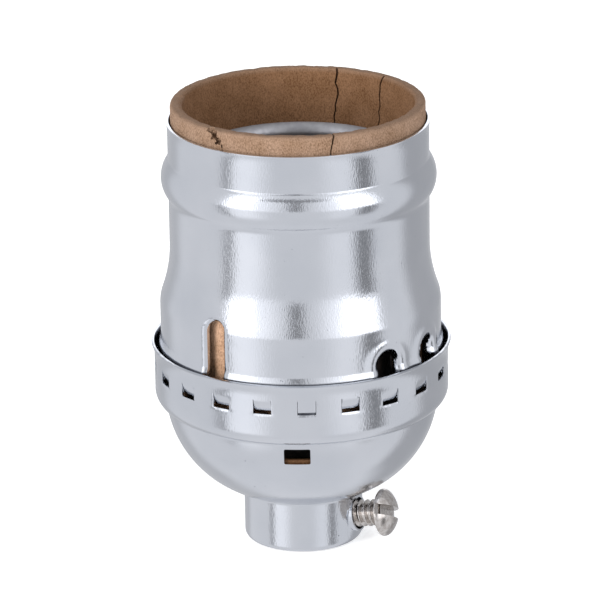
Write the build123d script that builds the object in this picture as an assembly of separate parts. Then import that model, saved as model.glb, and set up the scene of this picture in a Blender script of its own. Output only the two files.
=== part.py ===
"""Keyless screw lamp holder with a drawn metal casing, a fibre liner and a set screw in its neck.

Millimetres, +Z up. The origin is the centre of the neck's lower face, on which the holder stands.
An azimuth is measured in degrees from the front (-Y), positive towards +X.
"""
from build123d import *
from build123d.topology import SkipClean
import math
import os

# Drawn metal cap: neck, bowl, step and the ring that grips the casing
SHEET = 0.35
NECK_RADIUS = 7.45
NECK_HEIGHT = 6.6
NECK_MOUTH_RADIUS = 5.4
NECK_CORNER = 0.8
NECK_BEND = 0.45
BOWL_RADIUS = 13.6
BOWL_HEIGHT = 11.6
STEP_WIDTH = 1.35
STEP_TREAD = 0.3
STEP_TREAD_RISE = 0.1
STEP_BEND = 0.2
RING_HEIGHT = 8.0
RING_CORNER_HEIGHT = 1.8
LIP_FLARE = 0.35
LIP_HEIGHT = 1.6

# Punched windows of the cap
WINDOW_COUNT = 21
WINDOW_WIDTH = 2.3
WINDOW_HEIGHT = 1.8
WINDOW_BELOW_LIP = 2.8
WINDOW_CORNER = 0.2
FIRST_WINDOW_AZIMUTH = 1.7
INSPECTION_WIDTH = 3.3
INSPECTION_HEIGHT = 1.8
INSPECTION_BELOW_STEP = 1.9
INSPECTION_AZIMUTH = -2.4

# Threaded bushing held in the neck, for a pipe nipple
BUSHING_CLEARANCE = 0.05
BUSHING_BORE_RADIUS = 4.62
BUSHING_LENGTH = 5.2
BUSHING_CHAMFER = 0.3

# Set screw, and the collar drawn out of the neck for it
SCREW_AZIMUTH = 55.0
SCREW_TILT = 10.0
SCREW_HEIGHT = 4.2
SCREW_RADIUS = 1.7
SCREW_CLEARANCE = 0.08
SCREW_LENGTH = 6.4
SCREW_TIP_FROM_AXIS = 5.9
SCREW_TIP_CHAMFER = 0.4
HEAD_RADIUS = 3.08
HEAD_HEIGHT = 2.3
HEAD_RIM = 0.5
HEAD_SLOT_WIDTH = 1.15
HEAD_SLOT_DEPTH = 1.2
HEAD_SLOT_TURN = 80.0
COLLAR_WALL = 0.6
COLLAR_STAND = 0.7

# Drawn casing: skirt inside the ring, bulge, shoulder, bead and collar
SKIRT_CLEARANCE = 0.2
SKIRT_OVERLAP = 3.0
SKIRT_HEIGHT = 2.6
SKIRT_FLARE = 0.32
SKIRT_FLARE_ANGLE = 25.0
CASING_LENGTH = 31.56
BULGE_TOP = 8.1
SHOULDER_ANGLE = 20.0
SHOULDER_OUTER_BEND = 4.7
SHOULDER_INNER_BEND = 17.8
BEAD_HEIGHT = 4.8
BEAD_STAND = 0.9
BEAD_BELOW_TOP = 4.76
BEAD_UPPER_BEND = 0.35
BEAD_LOWER_BEND = 1.6
MOUTH_FLARE = 0.16
MOUTH_HEIGHT = 1.3

# Openings and locking teeth in the casing's lower part
SLOT_WIDTH = 2.3
SLOT_HEIGHT = 10.6
SLOT_AZIMUTH = -30.9
SLOT_COUNT = 2
ARCH_WIDTH = 3.3
ARCH_HEIGHT = 6.1
ARCH_AZIMUTHS = (37.5, 62.5)
ARCH_RIM_WIDTH = 0.9
ARCH_RIM_STAND = 0.3
ARCH_RIM_TAPER = 30.0
ARCH_LIP_WIDTH = 0.3
ARCH_LIP_DEPTH = 0.35
TOOTH_COUNT = 3
TOOTH_DROP = 0.55
TOOTH_HEIGHT = 1.6
TOOTH_CLEARANCE = 0.06
TOOTH_SIDE_CLEARANCE = 0.15

# Fibre liner inside the casing
LINER_THREAD_CLEARANCE = 0.825
LINER_WALL = 1.3
LINER_CLEARANCE = 0.05
LINER_PROUD = 2.24
LINER_FOOT_CLEARANCE = 0.1
LINER_NOTCH_WIDTH = 12.0
LINER_NOTCH_HEIGHT = 10.5
LINER_NOTCH_AZIMUTH = 50.0
LINER_EDGE = 0.25
TEAR_AZIMUTH = 16.5
TEAR_WIDTH = 0.3
TEAR_DEPTH = 2.1

# Fibre cup that lines the bowl of the cap
CUP_WALL = 0.5
CUP_CLEARANCE = 0.1
CUP_BELOW_STEP = 2.4
CUP_HOLE_RADIUS = 7.8

# Moulded body that carries the contacts
BODY_AZIMUTH = -40.0
FLANGE_CLEARANCE = 0.4
FLANGE_SIDE_CLEARANCE = 0.85
FLANGE_HEIGHT = 2.45
DRUM_CLEARANCE = 0.25
DRUM_HEIGHT = 7.4
BOSS_RADIUS = 4.3
BOSS_HEIGHT = 1.4
BODY_SKIRT_RADIUS = 13.0
BODY_SKIRT_DEPTH = 5.5
BODY_EDGE = 0.4
CAVITY_RADIUS = 10.0
CAVITY_CEILING_DROP = 0.4
BAY_FLOOR = 9.0
BAY_WIDTH = 9.6
BAY_ROOF = 1.0
WIRE_SLOT_WIDTH = 5.2
WIRE_SLOT_REACH = 14.0

# Terminal plates and their screws
PLATE = 0.8
PLATE_CLEARANCE = 0.05
LEAF_WIDTH = 7.6
LEAF_HEIGHT = 6.0
PAD_WIDTH = 10.8
PAD_REACH = 4.9
STEM_WIDTH = 4.8
FOOT_OVERRUN = 2.4
TERMINAL_LENGTH = 5.0
TERMINAL_HEAD_RADIUS = 3.0
TERMINAL_HEAD_HEIGHT = 1.8
TERMINAL_HEAD_CLEARANCE = 0.1
TERMINAL_BELOW_DRUM_TOP = 4.2
TERMINAL_HOLE_CLEARANCE = 0.6
TERMINAL_HOLE_OVERRUN = 0.6

# Rivets and the centre contact
RIVET_RADIUS = 1.2
RIVET_HEAD_RADIUS = 1.9
RIVET_HEAD_HEIGHT = 0.5
RIVET_HEAD_CHAMFER = 0.15
RIVET_CLEARANCE = 0.1
SHELL_RIVET_OFFSET = 7.2
NEUTRAL_RIVET_X = -4.0
NEUTRAL_RIVET_Y = -6.6
CONTACT = 0.5
CONTACT_WIDTH = 5.2
CONTACT_HALF_LENGTH = 3.4
CONTACT_FOLD_HEIGHT = 2.3
CONTACT_TONGUE_RISE = 1.4
CONTACT_TONGUE_REACH = 2.4
CONTACT_BEND = 1.0

# Screw shell: the rolled thread that takes the lamp's base
THREAD_INNER_RADIUS = 12.45
THREAD_DEPTH = 0.85
THREAD_PITCH = 3.629
THREAD_WIDTH = 2.5
THREAD_MARGIN = 0.3
SHELL_HEIGHT = 21.1
SHELL_CLEARANCE = 0.05
SHELL_FOOT_INSET = 0.65
SHELL_FOOT_HEIGHT = 4.0
SHELL_FOOT_RISE = 1.4
SHELL_FOOT_CORNER = 1.2
SHELL_RIM_FLARE = 0.75
SHELL_RIM_HEIGHT = 1.3
SHELL_BOSS_CLEARANCE = 0.3
SHELL_SECTORS = 4

# Heights and radii that follow from the sizes above
SHELL_OUTER_RADIUS = THREAD_INNER_RADIUS + SHEET
LINER_INNER_RADIUS = SHELL_OUTER_RADIUS + THREAD_DEPTH + LINER_THREAD_CLEARANCE
LINER_RADIUS = LINER_INNER_RADIUS + LINER_WALL
COLLAR_RADIUS = LINER_RADIUS + LINER_CLEARANCE + SHEET
SHOULDER_BENDS = SHOULDER_OUTER_BEND + SHOULDER_INNER_BEND
BULGE_RADIUS = COLLAR_RADIUS + SHOULDER_BENDS * (1 - math.cos(math.radians(SHOULDER_ANGLE)))
SKIRT_RADIUS = BULGE_RADIUS + SKIRT_FLARE
RING_INNER_RADIUS = SKIRT_RADIUS + SKIRT_CLEARANCE
RING_RADIUS = RING_INNER_RADIUS + SHEET
BOWL_TOP_RADIUS = RING_RADIUS - STEP_WIDTH
STEP_Z = NECK_HEIGHT + BOWL_HEIGHT
LIP_Z = STEP_Z + RING_HEIGHT
NECK_INNER_RADIUS = NECK_RADIUS - SHEET
BUSHING_Z = SHEET + BUSHING_CLEARANCE
CASING_Z = LIP_Z - SKIRT_OVERLAP
CASING_TOP_Z = CASING_Z + CASING_LENGTH
LINER_TOP_Z = CASING_TOP_Z + LINER_PROUD
FLANGE_Z = STEP_Z + SHEET + FLANGE_CLEARANCE
FLANGE_TOP_Z = FLANGE_Z + FLANGE_HEIGHT
FLANGE_RADIUS = RING_INNER_RADIUS - FLANGE_SIDE_CLEARANCE
LINER_Z = FLANGE_TOP_Z + LINER_FOOT_CLEARANCE
DRUM_RADIUS = LINER_INNER_RADIUS - DRUM_CLEARANCE
DRUM_TOP_Z = FLANGE_TOP_Z + DRUM_HEIGHT
BOSS_TOP_Z = DRUM_TOP_Z + BOSS_HEIGHT
CEILING_Z = FLANGE_TOP_Z - CAVITY_CEILING_DROP
TERMINAL_Z = DRUM_TOP_Z - TERMINAL_BELOW_DRUM_TOP
LEAF_INNER = BAY_FLOOR + PLATE_CLEARANCE
LEAF_OUTER = LEAF_INNER + PLATE
LEAF_BEND = PLATE + PLATE_CLEARANCE
SHELL_Z = DRUM_TOP_Z + SHELL_CLEARANCE
SHELL_FLOOR_Z = SHELL_Z + SHEET
SHELL_TOP_Z = SHELL_Z + SHELL_HEIGHT
THREAD_WALL_Z = SHELL_Z + SHELL_FOOT_HEIGHT + SHELL_FOOT_RISE
THREAD_WALL_TOP_Z = SHELL_TOP_Z - SHELL_RIM_HEIGHT


def turned(azimuth, shape):
    """A shape made at the front, turned about the Z axis to an azimuth."""
    return Rot(0, 0, azimuth) * shape


def chain(*lines):
    """The wire made of lines that follow one another."""
    return Wire([edge for line in lines for edge in line.edges()])


def rounded(wire, corner, radius):
    """The wire with the corner nearest to a point rounded."""
    nearest = min(wire.vertices(), key=lambda vertex: (Vector(vertex) - Vector(*corner)).length)
    return wire.fillet_2d(radius, [nearest])


def sheet_section(outline, thickness, inside):
    """The section of a sheet that has its outer face on an outline, and a given point on its inner side."""
    sides = (Side.LEFT, Side.RIGHT)
    sections = [make_face(offset(outline, amount=thickness, side=side).edges()) for side in sides]
    return min(sections, key=lambda section: (section.center() - Vector(*inside)).length)


def revolved(section):
    """A section drawn as radius and height, revolved about the Z axis."""
    return revolve(Plane.XZ * section, Axis.Z)


def tube(outer, inner, low, high):
    """A plain tube about the Z axis between two heights."""
    wall = Circle(outer) - Circle(inner)
    return extrude(Plane.XY.offset(low) * wall, high - low)


def rod(radius, low, high):
    """A plain rod about the Z axis between two heights."""
    return extrude(Plane.XY.offset(low) * Circle(radius), high - low)


def front_block(width, low, high, near, far):
    """A block at the front, between two heights and two distances from the axis."""
    return Pos(0, -(near + far) / 2, (low + high) / 2) * Box(width, far - near, high - low)


def front_punch(profile, near, far, taper=0):
    """A profile drawn as seen from the front, pushed outwards between two distances from the axis."""
    return extrude(Plane.XZ.offset(near) * profile, far - near, taper=taper)


def arch_profile(width, low, high):
    """An opening with straight sides and a round head, from a low to a high level."""
    spring = high - width / 2
    sides = Pos(0, (low + spring) / 2) * Rectangle(width, spring - low)
    return sides + Pos(0, spring) * Circle(width / 2)


def bowl_arc():
    """The bowl's outer arc, from the top of the neck up to the step."""
    start = Vector(NECK_RADIUS, NECK_HEIGHT)
    end = Vector(BOWL_TOP_RADIUS, STEP_Z)
    chord = end - start
    middle_to_centre = math.sqrt(BOWL_RADIUS**2 - (chord.length / 2) ** 2)
    centre = (start + end) / 2 + Vector(-chord.Y, chord.X).normalized() * middle_to_centre
    start_angle, end_angle = (math.degrees(math.atan2(p.Y - centre.Y, p.X - centre.X)) for p in (start, end))
    return CenterArc(centre, BOWL_RADIUS, start_angle, end_angle - start_angle)


def cap_outline():
    """Outer face of the cap in section, from the neck's mouth to the ring's lip."""
    neck_foot = (NECK_RADIUS, 0)
    neck_top = (NECK_RADIUS, NECK_HEIGHT)
    step_inner = (BOWL_TOP_RADIUS, STEP_Z)
    step_outer = (BOWL_TOP_RADIUS + STEP_TREAD, STEP_Z + STEP_TREAD_RISE)
    wall_low = (RING_RADIUS, STEP_Z + RING_CORNER_HEIGHT)
    wall_high = (RING_RADIUS, LIP_Z - LIP_HEIGHT)
    outline = chain(
        Line((NECK_MOUTH_RADIUS, 0), neck_foot),
        Line(neck_foot, neck_top),
        bowl_arc(),
        Line(step_inner, step_outer),
        TangentArc(wall_low, step_outer, tangent=(0, -1)),
        Line(wall_low, wall_high),
        TangentArc(wall_high, (RING_RADIUS + LIP_FLARE, LIP_Z), tangent=(0, 1)),
    )
    outline = rounded(outline, neck_foot, NECK_CORNER)
    outline = rounded(outline, neck_top, NECK_BEND)
    return rounded(outline, step_inner, STEP_BEND)


def screw_frame():
    """Frame of the set screw: its origin is where the axis leaves the neck, and +Z points outwards."""
    at_front = Pos(0, -NECK_RADIUS, SCREW_HEIGHT) * Rot(90 - SCREW_TILT, 0, 0)
    return Rot(0, 0, SCREW_AZIMUTH) * at_front


def set_screw_hole():
    """The clear hole for the set screw, through the bushing, the neck and the collar."""
    return screw_frame() * rod(SCREW_RADIUS + SCREW_CLEARANCE, -SCREW_LENGTH / 2, SCREW_LENGTH)


def cap():
    """Cap of drawn sheet: neck, bowl and ring with its windows, and the collar for the set screw."""
    sheet = revolved(sheet_section(cap_outline(), SHEET, (0, LIP_Z)))
    collar_radius = SCREW_RADIUS + SCREW_CLEARANCE + COLLAR_WALL
    collar = screw_frame() * rod(collar_radius, -NECK_RADIUS / 2, COLLAR_STAND)
    sheet += collar - rod(NECK_INNER_RADIUS, 0, STEP_Z)
    sheet -= set_screw_hole()
    window = RectangleRounded(WINDOW_WIDTH, WINDOW_HEIGHT, WINDOW_CORNER)
    punch = front_punch(Pos(0, LIP_Z - WINDOW_BELOW_LIP) * window, BOWL_TOP_RADIUS, RING_RADIUS + STEP_WIDTH)
    punches = [turned(FIRST_WINDOW_AZIMUTH + i * 360 / WINDOW_COUNT, punch) for i in range(WINDOW_COUNT)]
    opening = RectangleRounded(INSPECTION_WIDTH, INSPECTION_HEIGHT, WINDOW_CORNER)
    peephole = front_punch(Pos(0, STEP_Z - INSPECTION_BELOW_STEP) * opening, BODY_SKIRT_RADIUS, RING_RADIUS)
    return sheet - [*punches, turned(INSPECTION_AZIMUTH, peephole)]


def cap_liner():
    """Fibre cup that lies against the bowl, below the step."""
    centre = bowl_arc().arc_center
    outer = BOWL_RADIUS - SHEET - CUP_CLEARANCE
    band = Pos(centre) * (Circle(outer) - Circle(outer - CUP_WALL))
    high = STEP_Z - CUP_BELOW_STEP
    clip = Pos((CUP_HOLE_RADIUS + RING_RADIUS) / 2, high / 2) * Rectangle(RING_RADIUS - CUP_HOLE_RADIUS, high)
    return revolved(band & clip)


def neck_bushing():
    """Threaded bushing in the neck, shown with its plain bore, cross-drilled for the set screw."""
    outer = NECK_INNER_RADIUS - BUSHING_CLEARANCE
    barrel = tube(outer, BUSHING_BORE_RADIUS, BUSHING_Z, BUSHING_Z + BUSHING_LENGTH)
    barrel = chamfer(barrel.edges().filter_by(GeomType.CIRCLE), BUSHING_CHAMFER)
    return barrel - set_screw_hole()


def round_head_screw(length, head_radius, head_height, slot_turn):
    """Slotted screw along +Z: its tip points down, and the underside of its head is at z = 0."""
    shank = rod(SCREW_RADIUS, -length, 0)
    shank = chamfer(shank.edges().group_by(Axis.Z)[0], SCREW_TIP_CHAMFER)
    rim = (head_radius, HEAD_RIM)
    crown = (0, head_height)
    flank = Polyline(crown, (0, 0), (head_radius, 0), rim)
    dome = TangentArc(crown, rim, tangent=(1, 0))
    head = revolved(make_face(chain(flank, dome)))
    slot = Pos(0, 0, head_height) * Box(2 * head_radius, HEAD_SLOT_WIDTH, 2 * HEAD_SLOT_DEPTH)
    return shank + head - Rot(0, 0, slot_turn) * slot


def set_screw():
    """Set screw in the neck's collar, backed out as far as it stands at rest."""
    tip = -(NECK_RADIUS - SCREW_TIP_FROM_AXIS) / math.cos(math.radians(SCREW_TILT))
    screw = round_head_screw(SCREW_LENGTH, HEAD_RADIUS, HEAD_HEIGHT, HEAD_SLOT_TURN)
    return screw_frame() * Pos(0, 0, tip + SCREW_LENGTH) * screw


def casing_outline():
    """Outer face of the casing in section, from the skirt's edge up to the mouth."""
    skirt_top = (SKIRT_RADIUS, CASING_Z + SKIRT_HEIGHT)
    bulge_top = (BULGE_RADIUS, CASING_Z + BULGE_TOP)
    bead_high = CASING_TOP_Z - BEAD_BELOW_TOP
    bead_low = bead_high - BEAD_HEIGHT
    mouth_low = (COLLAR_RADIUS, CASING_TOP_Z - MOUTH_HEIGHT)
    flare = SKIRT_FLARE / 2 / (1 - math.cos(math.radians(SKIRT_FLARE_ANGLE)))
    flare_out = JernArc(skirt_top, (0, 1), flare, SKIRT_FLARE_ANGLE)
    flare_in = JernArc(flare_out @ 1, flare_out % 1, flare, -SKIRT_FLARE_ANGLE)
    shoulder_out = JernArc(bulge_top, (0, 1), SHOULDER_OUTER_BEND, SHOULDER_ANGLE)
    shoulder_in = JernArc(shoulder_out @ 1, shoulder_out % 1, SHOULDER_INNER_BEND, -SHOULDER_ANGLE)
    bead = ThreePointArc(
        (COLLAR_RADIUS, bead_low),
        (COLLAR_RADIUS + BEAD_STAND, (bead_low + bead_high) / 2),
        (COLLAR_RADIUS, bead_high),
    )
    outline = chain(
        Line((SKIRT_RADIUS, CASING_Z), skirt_top),
        flare_out,
        flare_in,
        Line(flare_in @ 1, bulge_top),
        shoulder_out,
        shoulder_in,
        Line(shoulder_in @ 1, bead @ 0),
        bead,
        Line(bead @ 1, mouth_low),
        TangentArc(mouth_low, (COLLAR_RADIUS + MOUTH_FLARE, CASING_TOP_Z), tangent=(0, 1)),
    )
    outline = rounded(outline, (COLLAR_RADIUS, bead_low), BEAD_LOWER_BEND)
    return rounded(outline, (COLLAR_RADIUS, bead_high), BEAD_UPPER_BEND)


def arch_hole():
    """The arched opening at the front of the skirt."""
    profile = arch_profile(ARCH_WIDTH, CASING_Z - SHEET, CASING_Z + ARCH_HEIGHT)
    return front_punch(profile, LINER_RADIUS, RING_RADIUS)


def arch_edge():
    """The raised rim and the turned-in lip round the arched opening."""
    low = CASING_Z - SHEET
    high = CASING_Z + ARCH_HEIGHT
    inner_face = BULGE_RADIUS - SHEET
    rim_profile = arch_profile(ARCH_WIDTH + 2 * ARCH_RIM_WIDTH, low, high + ARCH_RIM_WIDTH)
    rim = front_punch(rim_profile, inner_face, RING_RADIUS, ARCH_RIM_TAPER)
    rim &= tube(BULGE_RADIUS + ARCH_RIM_STAND, inner_face + SHEET / 2, CASING_Z, high + ARCH_WIDTH)
    lip_profile = arch_profile(ARCH_WIDTH + 2 * ARCH_LIP_WIDTH, low, high + ARCH_LIP_WIDTH)
    lip = front_punch(lip_profile, LINER_RADIUS, RING_RADIUS)
    lip &= tube(BULGE_RADIUS, inner_face - ARCH_LIP_DEPTH, CASING_Z, high + ARCH_WIDTH)
    return rim + lip


def locking_tooth():
    """A locking tooth at the front of the skirt, which stands behind one window of the ring."""
    width = WINDOW_WIDTH - 2 * TOOTH_SIDE_CLEARANCE
    block = front_block(width, CASING_Z - TOOTH_DROP, CASING_Z + TOOTH_HEIGHT, BOWL_TOP_RADIUS, RING_RADIUS)
    band = tube(
        RING_INNER_RADIUS - TOOTH_CLEARANCE,
        SKIRT_RADIUS - SHEET,
        CASING_Z - TOOTH_DROP,
        CASING_Z + TOOTH_HEIGHT,
    )
    return block & band


def outer_shell():
    """Casing of drawn sheet with its two relief slots, its pair of arched openings and its teeth."""
    sheet = revolved(sheet_section(casing_outline(), SHEET, (0, (CASING_Z + CASING_TOP_Z) / 2)))
    tooth = locking_tooth()
    sheet += [turned(FIRST_WINDOW_AZIMUTH + i * 360 / TOOTH_COUNT, tooth) for i in range(TOOTH_COUNT)]
    slot = front_punch(
        arch_profile(SLOT_WIDTH, CASING_Z - SHEET, CASING_Z + SLOT_HEIGHT), LINER_RADIUS, RING_RADIUS
    )
    sheet -= [turned(SLOT_AZIMUTH + i * 360 / SLOT_COUNT, slot) for i in range(SLOT_COUNT)]
    sheet += [turned(azimuth, arch_edge()) for azimuth in ARCH_AZIMUTHS]
    return sheet - [turned(azimuth, arch_hole()) for azimuth in ARCH_AZIMUTHS]


def insulating_liner():
    """Fibre tube inside the casing, standing proud of its mouth, notched at its foot and torn at its rim."""
    wall = tube(LINER_RADIUS, LINER_INNER_RADIUS, LINER_Z, LINER_TOP_Z)
    wall = chamfer(wall.edges().group_by(Axis.Z)[-1], LINER_EDGE)
    notch = front_punch(
        arch_profile(LINER_NOTCH_WIDTH, LINER_Z - LINER_WALL, LINER_Z + LINER_NOTCH_HEIGHT), 0, RING_RADIUS
    )
    tear = front_block(TEAR_WIDTH, LINER_TOP_Z - TEAR_DEPTH, LINER_TOP_Z + LINER_WALL, 0, RING_RADIUS)
    return wall - turned(LINER_NOTCH_AZIMUTH, notch) - turned(TEAR_AZIMUTH, tear)


def body_blank():
    """The body's moulding before its bays are cut: skirt, flange, drum and boss about one axis."""
    skirt_low = FLANGE_Z - BODY_SKIRT_DEPTH
    section = make_face(
        Polyline(
            (0, CEILING_Z),
            (CAVITY_RADIUS, CEILING_Z),
            (CAVITY_RADIUS, skirt_low),
            (BODY_SKIRT_RADIUS, skirt_low),
            (BODY_SKIRT_RADIUS, FLANGE_Z),
            (FLANGE_RADIUS, FLANGE_Z),
            (FLANGE_RADIUS, FLANGE_TOP_Z),
            (DRUM_RADIUS, FLANGE_TOP_Z),
            (DRUM_RADIUS, DRUM_TOP_Z),
            (BOSS_RADIUS, DRUM_TOP_Z),
            (BOSS_RADIUS, BOSS_TOP_Z),
            (0, BOSS_TOP_Z),
            close=True,
        )
    )
    blank = revolved(section)
    corners = blank.edges().filter_by(GeomType.CIRCLE).group_by(SortBy.RADIUS)
    return chamfer(corners[-1], BODY_EDGE)


def terminal_hole(reach):
    """The clear hole behind a terminal plate for the screw's end, at the front."""
    radius = SCREW_RADIUS + TERMINAL_HOLE_CLEARANCE
    return Pos(0, -BAY_FLOOR, TERMINAL_Z) * Rot(90, 0, 0) * rod(radius, -reach, PLATE)


def rivet_places():
    """The vertical rivets that hold the screw shell, as name and place in the body's own frame."""
    return {
        "neutral_rivet": (NEUTRAL_RIVET_X, NEUTRAL_RIVET_Y),
        "shell_rivet_1": (-SHELL_RIVET_OFFSET, 0),
        "shell_rivet_2": (SHELL_RIVET_OFFSET, 0),
    }


def socket_body():
    """Moulded body with two terminal bays, wire slots, and holes for its screws and rivets."""
    body = body_blank()
    reach = TERMINAL_LENGTH + TERMINAL_HOLE_OVERRUN
    neutral_bay = front_block(BAY_WIDTH, FLANGE_TOP_Z, BOSS_TOP_Z, BAY_FLOOR, RING_RADIUS)
    hot_bay = front_block(BAY_WIDTH, FLANGE_TOP_Z, DRUM_TOP_Z - BAY_ROOF, BAY_FLOOR, RING_RADIUS)
    wire_slot = front_block(WIRE_SLOT_WIDTH, 0, FLANGE_TOP_Z + SHEET, BAY_FLOOR, WIRE_SLOT_REACH)
    pad_low = DRUM_TOP_Z - PLATE - PLATE_CLEARANCE
    pad_pocket = front_block(
        PAD_WIDTH + 2 * PLATE_CLEARANCE, pad_low, BOSS_TOP_Z, PAD_REACH - PLATE_CLEARANCE, DRUM_RADIUS
    )
    body -= [neutral_bay, wire_slot, pad_pocket, terminal_hole(reach)]
    body -= [turned(180, cutter) for cutter in (hot_bay, wire_slot, terminal_hole(reach))]
    hole = rod(RIVET_RADIUS + RIVET_CLEARANCE, 0, LINER_TOP_Z)
    body -= [Pos(*place, 0) * hole for place in [(0, 0), *rivet_places().values()]]
    return turned(BODY_AZIMUTH, body)


def strip(path, thickness, inside, width):
    """A bent strip: its path gives distance along Y and height, and a point on its inner side."""
    return extrude(Plane.YZ * sheet_section(path, thickness, inside), width / 2, both=True)


def leaf_hole():
    """The hole in a terminal plate for its screw, at the front."""
    radius = SCREW_RADIUS + SCREW_CLEARANCE
    return Pos(0, -LEAF_INNER, TERMINAL_Z) * Rot(90, 0, 0) * rod(radius, -PLATE, 2 * PLATE)


def neutral_terminal_plate():
    """Angle plate of the silver side: a leaf in its bay, and a pad on the drum under the screw shell."""
    path = FilletPolyline(
        (-PAD_REACH, DRUM_TOP_Z),
        (-LEAF_OUTER, DRUM_TOP_Z),
        (-LEAF_OUTER, DRUM_TOP_Z - LEAF_HEIGHT),
        radius=LEAF_BEND,
    )
    plate = strip(path, PLATE, (0, DRUM_TOP_Z - LEAF_HEIGHT), LEAF_WIDTH)
    pad = front_block(PAD_WIDTH, DRUM_TOP_Z - PLATE, DRUM_TOP_Z, PAD_REACH, BAY_FLOOR - PLATE_CLEARANCE)
    plate = plate + pad - leaf_hole()
    plate -= Pos(NEUTRAL_RIVET_X, NEUTRAL_RIVET_Y, 0) * rod(RIVET_RADIUS + RIVET_CLEARANCE, 0, LINER_TOP_Z)
    return turned(BODY_AZIMUTH, plate)


def hot_terminal_plate():
    """Angle plate of the brass side: a leaf in its bay, and a foot under the body to the centre rivet."""
    low = CEILING_Z - PLATE
    path = FilletPolyline(
        (-FOOT_OVERRUN, low),
        (LEAF_OUTER, low),
        (LEAF_OUTER, FLANGE_TOP_Z + LEAF_HEIGHT),
        radius=LEAF_BEND,
    )
    plate = strip(path, PLATE, (0, FLANGE_TOP_Z + LEAF_HEIGHT), STEM_WIDTH)
    leaf_low = FLANGE_TOP_Z + PLATE_CLEARANCE
    leaf_high = FLANGE_TOP_Z + LEAF_HEIGHT
    plate += turned(180, front_block(LEAF_WIDTH, leaf_low, leaf_high, LEAF_INNER, LEAF_OUTER))
    plate -= turned(180, leaf_hole())
    plate -= rod(RIVET_RADIUS + RIVET_CLEARANCE, 0, LINER_TOP_Z)
    return turned(BODY_AZIMUTH, plate)


def terminal_screw(azimuth):
    """Terminal screw of the bay at an azimuth, its head just clear of the plate."""
    screw = round_head_screw(TERMINAL_LENGTH, TERMINAL_HEAD_RADIUS, TERMINAL_HEAD_HEIGHT, 0)
    out = LEAF_OUTER + TERMINAL_HEAD_CLEARANCE
    return turned(azimuth, Pos(0, -out, TERMINAL_Z) * Rot(90, 0, 0) * screw)


def rivet(low, high):
    """Rivet along the Z axis, its two heads against faces at two heights."""
    shank = rod(RIVET_RADIUS, low, high)
    lower_head = rod(RIVET_HEAD_RADIUS, low - RIVET_HEAD_HEIGHT, low)
    upper_head = rod(RIVET_HEAD_RADIUS, high, high + RIVET_HEAD_HEIGHT)
    solid = shank + lower_head + upper_head
    rims = solid.edges().group_by(Axis.Z)
    return chamfer([*rims[0], *rims[-1]], RIVET_HEAD_CHAMFER)


def centre_contact():
    """Spring strip for the lamp's tip: a base on the boss, folded back over its rivet."""
    fold = CONTACT_HALF_LENGTH + CONTACT
    path = FilletPolyline(
        (-CONTACT_HALF_LENGTH, BOSS_TOP_Z),
        (fold, BOSS_TOP_Z),
        (fold, BOSS_TOP_Z + CONTACT_FOLD_HEIGHT),
        (-CONTACT_TONGUE_REACH, BOSS_TOP_Z + CONTACT_FOLD_HEIGHT + CONTACT_TONGUE_RISE),
        radius=CONTACT_BEND,
    )
    contact = strip(path, CONTACT, (0, BOSS_TOP_Z + CONTACT_FOLD_HEIGHT / 2), CONTACT_WIDTH)
    contact -= rod(RIVET_RADIUS + RIVET_CLEARANCE, BOSS_TOP_Z - CONTACT, BOSS_TOP_Z + 2 * CONTACT)
    return turned(BODY_AZIMUTH, contact)


def shell_outline():
    """Outer face of the screw shell in section, from its floor's hole up to the rolled rim."""
    foot_radius = SHELL_OUTER_RADIUS - SHELL_FOOT_INSET
    foot_corner = (foot_radius, SHELL_Z)
    foot_top = (foot_radius, SHELL_Z + SHELL_FOOT_HEIGHT)
    wall_low = (SHELL_OUTER_RADIUS, THREAD_WALL_Z)
    wall_high = (SHELL_OUTER_RADIUS, THREAD_WALL_TOP_Z)
    rim = (SHELL_OUTER_RADIUS + SHELL_RIM_FLARE, SHELL_TOP_Z)
    outline = chain(
        Line((BOSS_RADIUS + SHELL_BOSS_CLEARANCE, SHELL_Z), foot_corner),
        Line(foot_corner, foot_top),
        Line(foot_top, wall_low),
        Line(wall_low, wall_high),
        TangentArc(wall_high, rim, tangent=(0, 1)),
    )
    return rounded(outline, foot_corner, SHELL_FOOT_CORNER)


def thread_ridge(root_radius):
    """A round ridge wound on a cylinder, as deep and wide as the lamp thread."""
    low = THREAD_WALL_Z + THREAD_WIDTH / 2 + THREAD_MARGIN
    high = THREAD_WALL_TOP_Z - THREAD_WIDTH / 2 - THREAD_MARGIN
    path = Helix(THREAD_PITCH, high - low, root_radius)
    sunk = root_radius - SHEET / 2
    crest = ThreePointArc(
        (sunk, -THREAD_WIDTH / 2), (root_radius + THREAD_DEPTH, 0), (sunk, THREAD_WIDTH / 2)
    )
    section = make_face(chain(crest, Line(crest @ 1, crest @ 0)))
    return Pos(0, 0, low) * sweep(Plane.XZ * section, path=path, is_frenet=True)


def in_sectors(sheet):
    """The same sheet with its faces parted into sectors, so each stretch of a helical crest is one face."""
    room = Pos(RING_RADIUS / 2, (SHELL_Z + SHELL_TOP_Z) / 2) * Rectangle(RING_RADIUS, 2 * SHELL_HEIGHT)
    wedge = revolve(Plane.XZ * room, Axis.Z, 360 / SHELL_SECTORS)
    with SkipClean():
        sectors = [sheet & turned(i * 360 / SHELL_SECTORS, wedge) for i in range(SHELL_SECTORS)]
        return sectors[0] + sectors[1:]


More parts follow.
